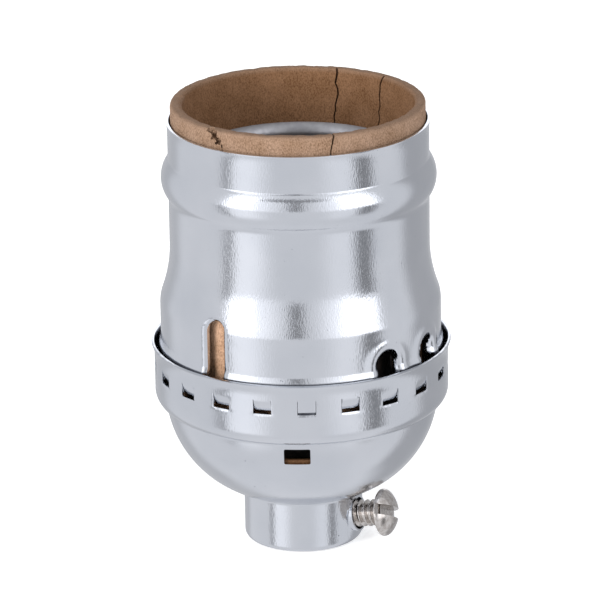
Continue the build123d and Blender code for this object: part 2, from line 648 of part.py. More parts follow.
def screw_shell():
    """Screw shell of rolled sheet: the thread is a ridge outside and the same groove inside."""
    sheet = revolved(sheet_section(shell_outline(), SHEET, (0, SHELL_TOP_Z)))
    sheet += thread_ridge(SHELL_OUTER_RADIUS)
    sheet -= thread_ridge(THREAD_INNER_RADIUS)
    hole = rod(RIVET_RADIUS + RIVET_CLEARANCE, DRUM_TOP_Z, SHELL_FLOOR_Z + SHEET)
    sheet -= [turned(BODY_AZIMUTH, Pos(*place, 0) * hole) for place in rivet_places().values()]
    return in_sectors(sheet)


def all_parts():
    """Every piece of the lamp holder, by the name of its node."""
    parts = {
        "cap": cap(),
        "cap_liner": cap_liner(),
        "neck_bushing": neck_bushing(),
        "set_screw": set_screw(),
        "outer_shell": outer_shell(),
        "insulating_liner": insulating_liner(),
        "socket_body": socket_body(),
        "neutral_terminal_plate": neutral_terminal_plate(),
        "hot_terminal_plate": hot_terminal_plate(),
        "neutral_terminal_screw": terminal_screw(BODY_AZIMUTH),
        "hot_terminal_screw": terminal_screw(BODY_AZIMUTH + 180),
        "contact_rivet": turned(BODY_AZIMUTH, rivet(CEILING_Z - PLATE, BOSS_TOP_Z + CONTACT)),
        "centre_contact": centre_contact(),
        "screw_shell": screw_shell(),
    }
    for name, place in rivet_places().items():
        parts[name] = turned(BODY_AZIMUTH, Pos(*place, 0) * rivet(CEILING_Z, SHELL_FLOOR_Z))
    return parts


def main():
    """Build every piece and write one file for each."""
    os.makedirs("parts", exist_ok=True)
    for name, part in all_parts().items():
        export_step(part, f"parts/{name}.step")


main()
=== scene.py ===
"""Dresses the lamp holder in its real finishes and sets it in a plain studio.

Pieces are modelled in millimetres round the holder's axis, +Z up with the front at -Y, and are brought to the
frame's metres when they are finished. An azimuth is measured in degrees from the front, positive towards +X.
"""

import logging
import math
import random
from contextlib import contextmanager
from dataclasses import dataclass, field
from enum import Enum
from itertools import pairwise
from typing import Callable, Iterator, Sequence

import bmesh
import bpy
from mathutils import Matrix, Vector, noise


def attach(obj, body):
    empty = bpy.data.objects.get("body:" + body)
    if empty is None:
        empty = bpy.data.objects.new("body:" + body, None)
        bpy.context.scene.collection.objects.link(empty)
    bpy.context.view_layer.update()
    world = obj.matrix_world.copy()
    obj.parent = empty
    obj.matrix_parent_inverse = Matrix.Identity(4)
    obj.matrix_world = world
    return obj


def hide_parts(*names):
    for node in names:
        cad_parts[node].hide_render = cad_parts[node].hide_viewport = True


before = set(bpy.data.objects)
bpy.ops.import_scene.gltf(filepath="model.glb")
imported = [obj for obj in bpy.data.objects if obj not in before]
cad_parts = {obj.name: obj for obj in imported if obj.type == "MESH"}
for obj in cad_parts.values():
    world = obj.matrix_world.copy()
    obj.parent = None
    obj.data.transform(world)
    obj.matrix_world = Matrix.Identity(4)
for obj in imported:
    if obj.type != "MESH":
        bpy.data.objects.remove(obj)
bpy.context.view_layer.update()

MM = 0.001
WELD = 0.0005
LOG = logging.getLogger("lamp_holder")

Point = tuple[float, float]
Colour = tuple[float, float, float, float]
Piece = bpy.types.Object
Tree = bpy.types.NodeTree
Socket = bpy.types.NodeSocket


class Body(Enum):
    """The moving bodies of the frame that the pieces ride on."""

    HOLDER = "holder"
    CASING = "casing"
    SET_SCREW = "set_screw"


# ---------------------------------------------------------------- outlines


def arc(centre: Point, radius: float, start: float, end: float, count: int) -> list[Point]:
    """Points along an arc in a section.

    Args:
        centre: the arc's centre, as radius and height.
        radius: the arc's radius.
        start: the angle of its first point in degrees, from the outward direction.
        end: the angle of its last point in degrees.
        count: the number of steps.

    Returns:
        The points, both ends among them.
    """
    angles = (math.radians(start + (end - start) * i / count) for i in range(count + 1))
    return [(centre[0] + radius * math.cos(a), centre[1] + radius * math.sin(a)) for a in angles]


def wrapped(angle: float) -> float:
    """The same angle in degrees, between -180 and 180."""
    return (angle + 180) % 360 - 180


def heading_to(start: Point, end: Point) -> float:
    """The direction from one point to another in degrees, from the outward direction."""
    return math.degrees(math.atan2(end[1] - start[1], end[0] - start[0]))


def arc_through(start: Point, middle: Point, end: Point, count: int) -> list[Point]:
    """Points along the arc through three points.

    Args:
        start: the first point.
        middle: a point of the arc between its ends.
        end: the last point.
        count: the number of steps.

    Returns:
        The points, both ends among them.
    """
    turn = 2 * wrapped(heading_to(middle, end) - heading_to(start, middle))
    return arc_from(start, heading_to(start, end) - turn / 2, end, count)


def arc_from(start: Point, heading: float, end: Point, count: int) -> list[Point]:
    """Points along the arc that leaves a point at a heading and ends at another point.

    Args:
        start: the first point.
        heading: the direction there in degrees, from the outward direction.
        end: the last point.
        count: the number of steps.

    Returns:
        The points, both ends among them.
    """
    turn = 2 * wrapped(heading_to(start, end) - heading)
    radius = math.dist(start, end) / (2 * math.sin(math.radians(abs(turn) / 2)))
    return bend(start, heading, radius, turn, count)


def bend(start: Point, heading: float, radius: float, turn: float, count: int) -> list[Point]:
    """Points along a bend that leaves a point at a heading.

    Args:
        start: the first point.
        heading: the direction there in degrees, from the outward direction.
        radius: the bend's radius.
        turn: how far the direction turns in degrees, positive towards the left.
        count: the number of steps.

    Returns:
        The points, both ends among them.
    """
    side = math.copysign(90, turn)
    to_centre = math.radians(heading + side)
    centre = (start[0] + radius * math.cos(to_centre), start[1] + radius * math.sin(to_centre))
    return arc(centre, radius, heading - side, heading - side + turn, count)


def softened(outline: Sequence[Point], corner: Point, reach: float, count: int = 5) -> list[Point]:
    """Rounds the corner of an outline that is nearest to a point.

    Args:
        outline: the outline's points.
        corner: a point at or near the corner.
        reach: how far along the outline the rounding starts before the corner and ends after it.
        count: the number of steps in the rounding.

    Returns:
        The new outline.
    """
    at = min(range(len(outline)), key=lambda i: math.dist(outline[i], corner))

    def walk(step: int) -> tuple[Point, int]:
        """Walks along the outline from the corner.

        Args:
            step: 1 to walk forwards, -1 to walk backwards.

        Returns:
            Where the walk ends, and the number of the last point that it passed.
        """
        left, i = reach, at
        while 0 < i < len(outline) - 1 and math.dist(outline[i], outline[i + step]) < left:
            left -= math.dist(outline[i], outline[i + step])
            i += step
        share = min(1.0, left / math.dist(outline[i], outline[i + step]))
        a, b = outline[i], outline[i + step]
        return (a[0] + (b[0] - a[0]) * share, a[1] + (b[1] - a[1]) * share), i

    (before, low), (after, high) = walk(-1), walk(1)
    middle = outline[at]
    curve = []
    for i in range(count + 1):
        t = i / count
        weights = ((1 - t) ** 2, 2 * t * (1 - t), t * t)
        shares = list(zip(weights, (before, middle, after)))
        curve.append((sum(w * p[0] for w, p in shares), sum(w * p[1] for w, p in shares)))
    return [*outline[:low], *curve, *outline[high + 1 :]]


def divided(outline: Sequence[Point], longest: float, low: float, high: float) -> list[Point]:
    """Divides the steps of an outline between two heights.

    Args:
        outline: the outline's points.
        longest: the longest step allowed there.
        low: the lower height.
        high: the upper height.

    Returns:
        The new outline.
    """
    points = [outline[0]]
    for a, b in pairwise(outline):
        inside = max(a[1], b[1]) > low and min(a[1], b[1]) < high
        parts = max(1, math.ceil(math.dist(a, b) / longest)) if inside else 1
        across, up = b[0] - a[0], b[1] - a[1]
        points += [(a[0] + across * i / parts, a[1] + up * i / parts) for i in range(1, parts + 1)]
    return points


# ---------------------------------------------------------------- modelling


def only(*pieces: Piece) -> None:
    """Selects these pieces alone and makes the first of them active.

    Args:
        pieces: the pieces, or none to select nothing.
    """
    bpy.ops.object.select_all(action="DESELECT")
    for piece in pieces:
        piece.select_set(True)
    bpy.context.view_layer.objects.active = pieces[0] if pieces else None


@contextmanager
def editing(piece: Piece) -> Iterator[bmesh.types.BMesh]:
    """Puts one piece into edit mode with nothing selected, for the operators inside the block.

    Args:
        piece: the piece.

    Yields:
        Its mesh, as edit mode holds it.
    """
    only(piece)
    bpy.ops.object.mode_set(mode="EDIT")
    bpy.ops.mesh.select_mode(type="VERT")
    bpy.ops.mesh.select_all(action="DESELECT")
    try:
        yield bmesh.from_edit_mesh(piece.data)
    finally:
        bpy.ops.object.mode_set(mode="OBJECT")


def settle(piece: Piece) -> None:
    """Applies a piece's place, turn and scale to its mesh."""
    only(piece)
    bpy.ops.object.transform_apply(location=True, rotation=True, scale=True)


def modified(piece: Piece, kind: str, **settings: object) -> None:
    """Adds a modifier to a piece and applies it.

    Args:
        piece: the piece.
        kind: the modifier's type.
        settings: the modifier's settings by name.
    """
    only(piece)
    modifier = piece.modifiers.new(kind.title(), kind)
    for name, value in settings.items():
        setattr(modifier, name, value)
    bpy.ops.object.modifier_apply(modifier=modifier.name)


def eased(piece: Piece, width: float, segments: int, angle: float) -> None:
    """Rounds the edges of a piece that are sharper than an angle in degrees."""
    limit = math.radians(angle)
    modified(piece, "BEVEL", width=width, segments=segments, limit_method="ANGLE", angle_limit=limit)


def added(operator: Callable[..., object], **settings: object) -> Piece:
    """Adds a primitive and applies its place, turn and scale.

    Args:
        operator: the operator that adds it.
        settings: the operator's settings by name.

    Returns:
        The new object.
    """
    only()
    operator(**settings)
    piece = bpy.context.object
    settle(piece)
    return piece


def line(name: str, points: Sequence[Point]) -> Piece:
    """Draws an outline in the XZ plane as a chain of edges.

    Args:
        name: the new object's name.
        points: the outline, as radius and height.

    Returns:
        The new object.
    """
    piece = added(bpy.ops.mesh.primitive_plane_add, size=WELD, location=(points[0][0], 0, points[0][1]))
    piece.name = name
    with editing(piece):
        bpy.ops.mesh.select_all(action="SELECT")
        bpy.ops.mesh.merge(type="CENTER")
        for a, b in pairwise(points):
            move = (b[0] - a[0], 0, b[1] - a[1])
            bpy.ops.mesh.extrude_vertices_move(TRANSFORM_OT_translate={"value": move})
    return piece


def welded(piece: Piece) -> None:
    """Merges a piece's doubled points and turns its faces outwards.

    Args:
        piece: the piece.
    """
    with editing(piece):
        bpy.ops.mesh.select_all(action="SELECT")
        bpy.ops.mesh.remove_doubles(threshold=WELD)
        bpy.ops.mesh.normals_make_consistent(inside=False)


def spun(name: str, outline: Sequence[Point], steps: int) -> Piece:
    """Spins an outline a full turn about the Z axis.

    Args:
        name: the new object's name.
        outline: the outline, as radius and height; a closed one ends where it starts.
        steps: the number of steps in the turn.

    Returns:
        The new object.
    """
    piece = line(name, outline)
    with editing(piece):
        bpy.ops.mesh.select_all(action="SELECT")
        bpy.ops.mesh.spin(steps=steps, angle=math.tau, center=(0, 0, 0), axis=(0, 0, 1))
    welded(piece)
    return piece


def turned(piece: Piece, azimuth: float) -> Piece:
    """Turns a piece made at the front to an azimuth.

    Args:
        piece: the piece.
        azimuth: where it goes, in degrees.

    Returns:
        The same piece.
    """
    piece.rotation_euler.z = math.radians(azimuth)
    settle(piece)
    return piece


def seated(piece: Piece, place: Matrix) -> Piece:
    """Moves a piece to a place.

    Args:
        piece: the piece.
        place: the place, as a matrix.

    Returns:
        The same piece.
    """
    piece.matrix_world = place
    settle(piece)
    return piece


def polar(vertex: bpy.types.MeshVertex) -> Point:
    """A point's distance from the axis and its azimuth in degrees."""
    return math.hypot(vertex.co.x, vertex.co.y), math.degrees(math.atan2(vertex.co.x, -vertex.co.y))


def slide_out(vertex: bpy.types.MeshVertex, shift: float) -> None:
    """Moves a point away from the axis.

    Args:
        vertex: the point.
        shift: how far it goes outwards.
    """
    radius = math.hypot(vertex.co.x, vertex.co.y)
    vertex.co.x *= (radius + shift) / radius
    vertex.co.y *= (radius + shift) / radius


def copies(piece: Piece, azimuths: Sequence[float]) -> list[Piece]:
    """Copies a piece made at the front to several azimuths.

    Args:
        piece: the piece, which becomes the first copy.
        azimuths: where the copies go.

    Returns:
        All the copies, each with its own mesh.
    """
    made = [piece]
    for _ in azimuths[1:]:
        only(piece)
        bpy.ops.object.duplicate()
        made.append(bpy.context.object)
    return [turned(copy, azimuth) for copy, azimuth in zip(made, azimuths)]


def joined(pieces: Sequence[Piece]) -> Piece:
    """Joins several pieces.

    Args:
        pieces: the pieces.

    Returns:
        The first of them, with the others in it.
    """
    only(*pieces)
    if len(pieces) > 1:
        bpy.ops.object.join()
    return pieces[0]


def combined(piece: Piece, tool: Piece, operation: str = "DIFFERENCE") -> None:
    """Cuts a piece with another, or adds the other to it, and deletes the other.

    Args:
        piece: the piece that stays.
        tool: the other piece.
        operation: the name of the boolean operation.
    """
    modified(piece, "BOOLEAN", operation=operation, object=tool, solver="EXACT")
    bpy.data.objects.remove(tool)


def block(size: Sequence[float], place: Sequence[float], corner: float = 0.0, axis: int = 1) -> Piece:
    """A block with its four edges along one axis rounded.

    Args:
        size: its width, depth and height.
        place: its middle.
        corner: the radius of the rounded edges.
        axis: which axis these edges run along.

    Returns:
        The new object.
    """
    piece = added(bpy.ops.mesh.primitive_cube_add, size=1, location=place, scale=size)
    if corner:
        with editing(piece) as mesh:
            bpy.ops.mesh.select_mode(type="EDGE")
            for edge in mesh.edges:
                along = (edge.verts[0].co - edge.verts[1].co).normalized()
                edge.select_set(abs(along[axis]) > 0.99)
            bpy.ops.mesh.bevel(offset=corner, segments=4, affect="EDGES")
    return piece


def drill(radius: float, low: float, high: float, sides: int = 48) -> Piece:
    """A round bar along the Z axis.

    Args:
        radius: its radius.
        low: the height of its lower end.
        high: the height of its upper end.
        sides: how many sides stand for the circle.

    Returns:
        The new object.
    """
    middle = (0, 0, (low + high) / 2)
    add_bar = bpy.ops.mesh.primitive_cylinder_add
    return added(add_bar, vertices=sides, radius=radius, depth=high - low, location=middle)


def arch(width: float, low: float, high: float, near: float, far: float) -> Piece:
    """A bar at the front with a round head and straight sides, pointing outwards.

    Args:
        width: its width.
        low: how low its straight sides go.
        high: the top of its round head.
        near: its nearest distance from the axis.
        far: its furthest distance from the axis.

    Returns:
        The new object.
    """
    spring = high - width / 2
    piece = added(
        bpy.ops.mesh.primitive_cylinder_add,
        vertices=64,
        radius=width / 2,
        depth=far - near,
        location=(0, -(near + far) / 2, spring),
        rotation=(math.pi / 2, 0, 0),
    )
    with editing(piece) as mesh:
        for vertex in mesh.verts:
            vertex.select_set(vertex.co.z < spring - WELD)
        bpy.ops.transform.translate(value=(0, 0, low - spring))
    return piece


def threaded_bar(name: str, root: float, crest: float, pitch: float, length: float, flat: float) -> Piece:
    """A bar along the Z axis with a screw thread, from z = 0 up.

    Args:
        name: the new object's name.
        root: the radius at the thread's root.
        crest: the radius at its crest.
        pitch: the rise of one turn.
        length: the bar's length.
        flat: the share of the pitch that is flat at the crest and at the root.

    Returns:
        The new object.
    """
    turns = math.ceil(length / pitch) + 2
    flank = (1 - 2 * flat) / 2
    shape = [(root, 0.0), (root, flat), (crest, flat + flank), (crest, 2 * flat + flank), (root, 1.0)]
    piece = line(name, [(r, z * pitch - pitch) for r, z in shape])
    modified(
        piece, "SCREW", axis="Z", angle=math.tau, screw_offset=pitch, steps=64, render_steps=64,
        iterations=turns, use_merge_vertices=True, merge_threshold=WELD,
    )
    for height, outwards in ((0.0, -1.0), (length, 1.0)):
        with editing(piece):
            bpy.ops.mesh.select_all(action="SELECT")
            bpy.ops.mesh.bisect(
                plane_co=(0, 0, height), plane_no=(0, 0, outwards), use_fill=True, clear_outer=True
            )
    welded(piece)
    return piece


def finished(
    piece: Piece,
    body: Body,
    material: bpy.types.Material,
    nodes: Sequence[str] = (),
    crease: float = 38.0,
) -> Piece:
    """Brings a modelled piece to metres and hands it to the frame.

    Args:
        piece: the piece, in millimetres.
        body: the body that it rides on.
        material: its material.
        nodes: the CAD nodes that it stands for.
        crease: the angle in degrees above which an edge stays sharp.

    Returns:
        The piece.
    """
    piece.scale = (MM, MM, MM)
    settle(piece)
    bpy.ops.object.shade_smooth_by_angle(angle=math.radians(crease))
    piece.data.materials.clear()
    piece.data.materials.append(material)
    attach(piece, body.value)
    if nodes:
        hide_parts(*nodes)
    LOG.info("%s: %d faces", piece.name, len(piece.data.polygons))
    return piece


# ---------------------------------------------------------------- finishes


def linear(code: str, alpha: float = 1.0) -> Colour:
    """Turns an sRGB colour to linear values.

    Args:
        code: the colour as a hex code.
        alpha: its opacity.

    Returns:
        Red, green, blue and opacity.
    """
    parts = (int(code[i : i + 2], 16) / 255 for i in (1, 3, 5))
    r, g, b = (c / 12.92 if c <= 0.04045 else ((c + 0.055) / 1.055) ** 2.4 for c in parts)
    return r, g, b, alpha


def feed(tree: Tree, node: bpy.types.Node, links: dict) -> None:
    """Links or sets a node's inputs.

    Args:
        tree: the node tree.
        node: the node.
        links: by input name or number, the output that feeds it or the value that it has.
    """
    for key, value in links.items():
        if isinstance(value, bpy.types.NodeSocket):
            tree.links.new(value, node.inputs[key])
        else:
            node.inputs[key].default_value = value


def add(tree: Tree, kind: str, links: dict | None = None, **settings: object) -> bpy.types.Node:
    """Adds a node with its settings and links.

    Args:
        tree: the node tree.
        kind: the node's type.
        links: by input name or number, the output that feeds it or the value that it has.
        settings: the node's own settings.

    Returns:
        The new node.
    """
    node = tree.nodes.new(kind)
    for name, value in settings.items():
        setattr(node, name, value)
    feed(tree, node, links or {})
    return node


def ramp(tree: Tree, factor: Socket, stops: Sequence[tuple[float, str]]) -> Socket:
    """Adds a colour ramp.

    Args:
        tree: the node tree.
        factor: the output that drives it.
        stops: places and colours.

    Returns:
        Its colour.
    """
    node = add(tree, "ShaderNodeValToRGB", {0: factor})
    for element, (place, colour) in zip(node.color_ramp.elements, stops):
        element.position, element.color = place, linear(colour)
    return node.outputs[0]


def texture(tree: Tree, place: Socket, detail: float, width: float, length: float | None = None) -> Socket:
    """Adds noise.

    Args:
        tree: the node tree.
        place: the place on the piece in millimetres.
        detail: how many octaves it has.
        width: the size of its features in millimetres.
        length: their size along Z, where that is another.

    Returns:
        Its height.
    """
    density = (1 / width, 1 / width, 1 / (length or width))
    scaled = add(tree, "ShaderNodeVectorMath", {0: place, 1: density}, operation="MULTIPLY").outputs[0]
    return add(tree, "ShaderNodeTexNoise", {"Vector": scaled, "Scale": 1.0, "Detail": detail}).outputs["Fac"]


def remapped(tree: Tree, value: Socket, source: Point, target: Point = (0.0, 1.0)) -> Socket:
    """Maps a value from one range to another.

    Args:
        tree: the node tree.
        value: the value.
        source: the range that it has.
        target: the range that it gets.

    Returns:
        The new value, kept inside its range.
    """
    names = ("From Min", "From Max", "To Min", "To Max")
    return add(tree, "ShaderNodeMapRange", {"Value": value, **dict(zip(names, (*source, *target)))}).outputs[0]


def blended(
    tree: Tree, factor: Socket | float, first: Socket, second: Socket | Colour, kind: str = "MIX"
) -> Socket:
    """Blends two colours.

    Args:
        tree: the node tree.
        factor: the share of the second.
        first: the first colour.
        second: the second colour.
        kind: how they are blended.

    Returns:
        The blended colour.
    """
    links = {"Factor": factor, 6: first, 7: second}
    return add(tree, "ShaderNodeMix", links, data_type="RGBA", blend_type=kind).outputs[2]


def relief(
    tree: Tree, height: Socket, depth: float, strength: float = 1.0, under: Socket | None = None
) -> Socket:
    """Adds a bump.

    Args:
        tree: the node tree.
        height: its height, from 0 to 1.
        depth: its depth in millimetres.
        strength: how much of it shows.
        under: the bump that it lies on.

    Returns:
        The surface's direction.
    """
    links = {"Height": height, "Strength": strength, "Distance": depth * MM}
    return add(tree, "ShaderNodeBump", links if under is None else {**links, "Normal": under}).outputs[0]


def blank(name: str) -> tuple[bpy.types.Material, Tree, bpy.types.Node, Socket]:
    """Starts a material.

    Args:
        name: the material's name.

    Returns:
        The material, its tree, its main shader, and the place on the piece in millimetres.
    """
    material = bpy.data.materials.new(name)
    material.use_nodes = True
    tree = material.node_tree
    tree.nodes.clear()
    shader = add(tree, "ShaderNodeBsdfPrincipled")
    add(tree, "ShaderNodeOutputMaterial", {"Surface": shader.outputs[0]})
    place = add(tree, "ShaderNodeTexCoord").outputs["Object"]
    scaled = add(tree, "ShaderNodeVectorMath", {0: place, 1: (1 / MM,) * 3}, operation="MULTIPLY")
    return material, tree, shader, scaled.outputs[0]


@dataclass(frozen=True)
class DrawnSheet:
    """Bright sheet metal as it leaves the press: grey, smooth, with faint upright drawing marks.

    The marks break the edges of a reflection into short upright flecks, and the rolled surface makes it waver.
    Below a given height the sheet can be painted a darker grey, as painted shade for the dark gap under the
    ring's lip.
    """

    name: str = "bright_drawn_aluminium"
    colour: str = "#D9DBDF"
    dull_colour: str = "#CFD2D7"
    roughness: float = 0.13
    mark_width: float = 0.17
    mark_length: float = 0.48
    mark_depth: float = 0.015
    wave_length: float = 7.0
    wave_depth: float = 0.045
    stain_size: float = 9.0
    speck_size: float = 0.42
    speck_range: Point = (0.79, 0.84)
    speck: str = "#8F9298"
    # painted shade: below this height the sheet is painted a darker grey, standing for the shadowed gap where
    # the casing sits in the ring's lip
    painted_shade_z: float = 0.0
    painted_shade_edge: float = 0.08
    painted_shade_colour: str = "#77797E"

    def made(self) -> bpy.types.Material:
        """Builds the material.

        Returns:
            The material.
        """
        material, tree, shader, place = blank(self.name)
        marks = texture(tree, place, 2.0, self.mark_width, self.mark_length)
        waves = texture(tree, place, 1.0, self.wave_length)
        stains = texture(tree, place, 4.0, self.stain_size)
        tone = ramp(tree, stains, [(0.35, self.colour), (0.75, self.dull_colour)])
        dots = remapped(tree, texture(tree, place, 1.0, self.speck_size), self.speck_range)
        height = add(tree, "ShaderNodeSeparateXYZ", {0: place}).outputs["Z"]
        # painted shade: darker grey below the given height, in place of the shade in the gap under the ring's
        # lip
        under_lip_shade = remapped(tree, height, (self.painted_shade_z + self.painted_shade_edge, self.painted_shade_z - self.painted_shade_edge))
        spotted = blended(tree, dots, tone, linear(self.speck))
        links = {
            "Base Color": blended(tree, under_lip_shade, spotted, linear(self.painted_shade_colour)),
            "Roughness": remapped(tree, stains, (0.0, 1.0), (self.roughness * 0.85, self.roughness * 1.3)),
            "Normal": relief(tree, marks, self.mark_depth, under=relief(tree, waves, self.wave_depth)),
            "Metallic": 1.0,
        }
        feed(tree, shader, links)
        return material


@dataclass(frozen=True)
class FibrePaper:
    """Vulcanised fibre paper: dry, matt and tan, with darker fibres, and worn grey at its cut edge; its inner
    face is painted darker as painted shade, and its paper is painted darker above a given height so that the
    lower part, seen in shade through the casing's slot, carries painted light.
    """

    name: str = "vulcanised_fibre"
    pale: str = "#CDA78B"
    dark: str = "#9E7858"
    speck: str = "#5A3C28"
    worn: str = "#8C7361"
    bore: float = 14.475
    # painted light: below this height the paper is left lighter than above it, so that the tube seen in shade
    # through the casing's slot comes out brighter
    painted_light_below_z: float = 48.0
    darker_above_painted_light: Colour = (0.52, 0.54, 0.56, 1.0)
    # painted shade: the tint that darkens the tube's inner face, standing for the shade inside the tube
    painted_inner_shade: Colour = (0.42, 0.36, 0.29, 1.0)
    fibre_width: float = 0.15
    fibre_length: float = 0.24
    cloud_size: float = 2.6
    depth: float = 0.06
    edge_height: float = 56.8

    def made(self) -> bpy.types.Material:
        """Builds the material.

        Returns:
            The material.
        """
        material, tree, shader, place = blank(self.name)
        fibres = texture(tree, place, 3.0, self.fibre_width, self.fibre_length)
        clouds = ramp(tree, texture(tree, place, 4.0, self.cloud_size), [(0.32, self.dark), (0.68, self.pale)])
        flecks = ramp(tree, fibres, [(0.26, self.speck), (0.60, self.pale)])
        paper = blended(tree, 0.6, clouds, flecks)
        axes = add(tree, "ShaderNodeSeparateXYZ", {0: place}).outputs
        flat = add(tree, "ShaderNodeCombineXYZ", {0: axes["X"], 1: axes["Y"]}).outputs[0]
        radius = add(tree, "ShaderNodeVectorMath", {0: flat}, operation="LENGTH").outputs["Value"]
        # painted shade: the inner face is multiplied by a darker brown
        inside = remapped(tree, radius, (self.bore + 0.5, self.bore + 0.1))
        # painted light: the paper above the given height is multiplied darker, leaving the lower part lighter
        above_painted_light = remapped(tree, axes["Z"], (self.painted_light_below_z, self.painted_light_below_z + 3))
        outer = blended(tree, above_painted_light, paper, self.darker_above_painted_light, "MULTIPLY")
        inner = blended(tree, 1.0, paper, self.painted_inner_shade, "MULTIPLY")
        edge = remapped(tree, axes["Z"], (self.edge_height - 0.35, self.edge_height + 0.15))
        ragged = add(tree, "ShaderNodeMath", {0: edge, 1: fibres}, operation="MULTIPLY").outputs[0]
        links = {
            "Base Color": blended(tree, ragged, blended(tree, inside, outer, inner), linear(self.worn)),
            "Normal": relief(tree, fibres, self.depth),
            "Roughness": 0.9,
            "Specular IOR Level": 0.25,
        }
        feed(tree, shader, links)
        return material


@dataclass(frozen=True)
class PlatedMetal:
    """A small metal part with a plated or plain stamped surface: even, with fine pits and a soft gloss."""

    name: str
    colour: str
    dull_colour: str
    roughness: float
    pit_size: float = 0.35
    depth: float = 0.006

    def made(self) -> bpy.types.Material:
        """Builds the material.

        Returns:
            The material.
        """
        material, tree, shader, place = blank(self.name)
        pits = texture(tree, place, 3.0, self.pit_size)
        links = {
            "Base Color": ramp(tree, pits, [(0.35, self.dull_colour), (0.6, self.colour)]),
            "Roughness": remapped(tree, pits, (0.0, 1.0), (self.roughness * 1.25, self.roughness * 0.8)),
            "Normal": relief(tree, pits, self.depth),
            "Metallic": 1.0,
        }
        feed(tree, shader, links)
        return material


@dataclass(frozen=True)
class Phenolic:
    """Moulded phenolic: nearly black, with a fine flow grain and a satin skin."""

    name: str = "moulded_phenolic"
    colour: str = "#231F1E"
    grain_colour: str = "#352E2B"
    roughness: float = 0.42
    grain_size: float = 0.5
    grain_depth: float = 0.01

    def made(self) -> bpy.types.Material:
        """Builds the material.

        Returns:
            The material.
        """
        material, tree, shader, place = blank(self.name)
        grain = texture(tree, place, 4.0, self.grain_size)
        links = {
            "Base Color": ramp(tree, grain, [(0.4, self.colour), (0.7, self.grain_colour)]),
            "Normal": relief(tree, grain, self.grain_depth, strength=0.5),
            "Roughness": self.roughness,
        }
        feed(tree, shader, links)
        return material


# ---------------------------------------------------------------- the holder


